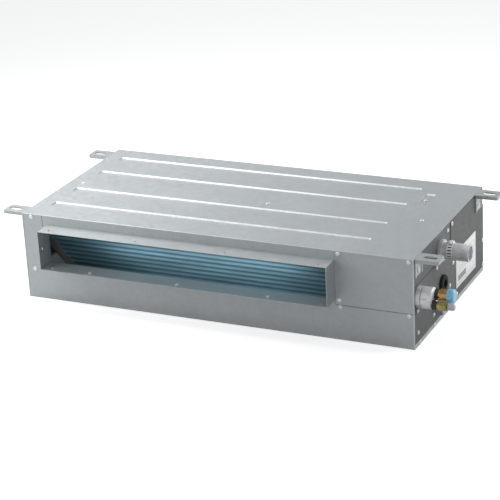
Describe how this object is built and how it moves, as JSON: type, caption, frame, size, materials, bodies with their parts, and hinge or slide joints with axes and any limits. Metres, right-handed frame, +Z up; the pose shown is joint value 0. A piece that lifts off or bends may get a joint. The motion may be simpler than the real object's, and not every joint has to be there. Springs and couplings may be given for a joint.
{
  "type": "ducted air conditioner",
  "caption": "Slim ceiling-mounted ducted air conditioner unit with outlet collar, slanted coil, twin centrifugal fans, sliding filter, drain pump and slotted hanging brackets.",
  "frame": {"origin": "middle of the underside of the casing", "axes": "+X to the right seen from the outlet, towards the pipe connections; -Y out of the outlet collar; +Z up"},
  "size_m": [0.976, 0.4647, 0.1872],
  "materials": {
    "galvanised_sheet": "satin",
    "bracket_steel": "satin",
    "cover_steel": "satin",
    "fin_aluminium": "satin",
    "copper": "polished",
    "brass": "polished",
    "pan_plastic": "matte",
    "fan_plastic": "matte",
    "white_plastic": "matte",
    "blue_plastic": "gloss",
    "black_rubber": "matte",
    "grey_rubber": "matte",
    "foam": "matte",
    "bright_steel": "bright",
    "motor_grey": "satin",
    "board_green": "matte"
  },
  "bodies": {
    "casing": {"top_panel": "galvanised_sheet", "bottom_panel": "galvanised_sheet", "left_side_panel": "galvanised_sheet", "right_side_panel": "galvanised_sheet", "front_right_panel": "galvanised_sheet", "rear_right_panel": "galvanised_sheet", "outlet_collar": "galvanised_sheet", "partition_wall": "galvanised_sheet", "fan_deck": "galvanised_sheet", "inlet_frame": "galvanised_sheet", "filter_rails": "galvanised_sheet", "coil_end_plate_left": "galvanised_sheet", "coil_end_plate_right": "galvanised_sheet", "motor_bracket": "galvanised_sheet", "bearing_bracket": "galvanised_sheet", "pump_bracket": "galvanised_sheet", "pipe_plate": "galvanised_sheet", "electrical_box": "galvanised_sheet", "hanger_front_left": "bracket_steel", "hanger_front_right": "bracket_steel", "hanger_rear_left": "bracket_steel", "hanger_rear_right": "bracket_steel", "electrical_cover": "cover_steel", "coil_fins": "fin_aluminium", "coil_tubes": "copper", "gas_header": "copper", "gas_pipe": "copper", "liquid_pipe": "copper", "capillary_tubes": "copper", "liquid_distributor": "brass", "drain_pan": "pan_plastic", "fan_housing_left": "fan_plastic", "fan_housing_right": "fan_plastic", "terminal_block": "fan_plastic", "pump_riser": "white_plastic", "drain_pump": "white_plastic", "float_switch": "white_plastic", "drain_plug": "black_rubber", "cable_grommet": "black_rubber", "drain_hose": "grey_rubber", "side_foam": "foam", "pipe_sleeve": "foam", "hose_clamp": "bright_steel", "casing_screws": "bright_steel", "hanger_screws": "bright_steel", "collar_screws": "bright_steel", "fan_motor": "motor_grey", "transformer": "motor_grey", "circuit_board": "board_green"},
    "fan_rotor": {"fan_shaft": "bright_steel", "fan_wheel_left": "fan_plastic", "fan_wheel_right": "fan_plastic"},
    "filter": {"air_filter": "white_plastic"},
    "float": {"float_ring": "white_plastic"},
    "impeller": {"pump_impeller": "white_plastic"},
    "gas_nut_body": {"gas_nut": "brass", "gas_cap": "blue_plastic"},
    "liquid_nut_body": {"liquid_nut": "brass", "liquid_cap": "white_plastic"}
  },
  "joints": [
    {"name": "fan_spin", "type": "hinge", "parent": "casing", "child": "fan_rotor", "pos_m": [-0.0805, 0.10195, 0.0851], "axis": [1, 0, 0], "continuous": true},
    {"name": "filter_slide", "type": "slide", "parent": "casing", "child": "filter", "axis": [-1, 0, 0], "range_m": [0, 0.6]},
    {"name": "float_rise", "type": "slide", "parent": "casing", "child": "float", "axis": [0, 0, 1], "range_m": [0, 0.012]},
    {"name": "pump_spin", "type": "hinge", "parent": "casing", "child": "impeller", "pos_m": [0.345, -0.052, 0.014], "axis": [0, 0, 1], "continuous": true},
    {"name": "gas_nut_turn", "type": "hinge", "parent": "casing", "child": "gas_nut_body", "pos_m": [0.468, -0.1775, 0.107], "axis": [1, 0, 0], "continuous": true},
    {"name": "liquid_nut_turn", "type": "hinge", "parent": "casing", "child": "liquid_nut_body", "pos_m": [0.471, -0.1967, 0.0928], "axis": [1, 0, 0], "continuous": true}
  ]
}
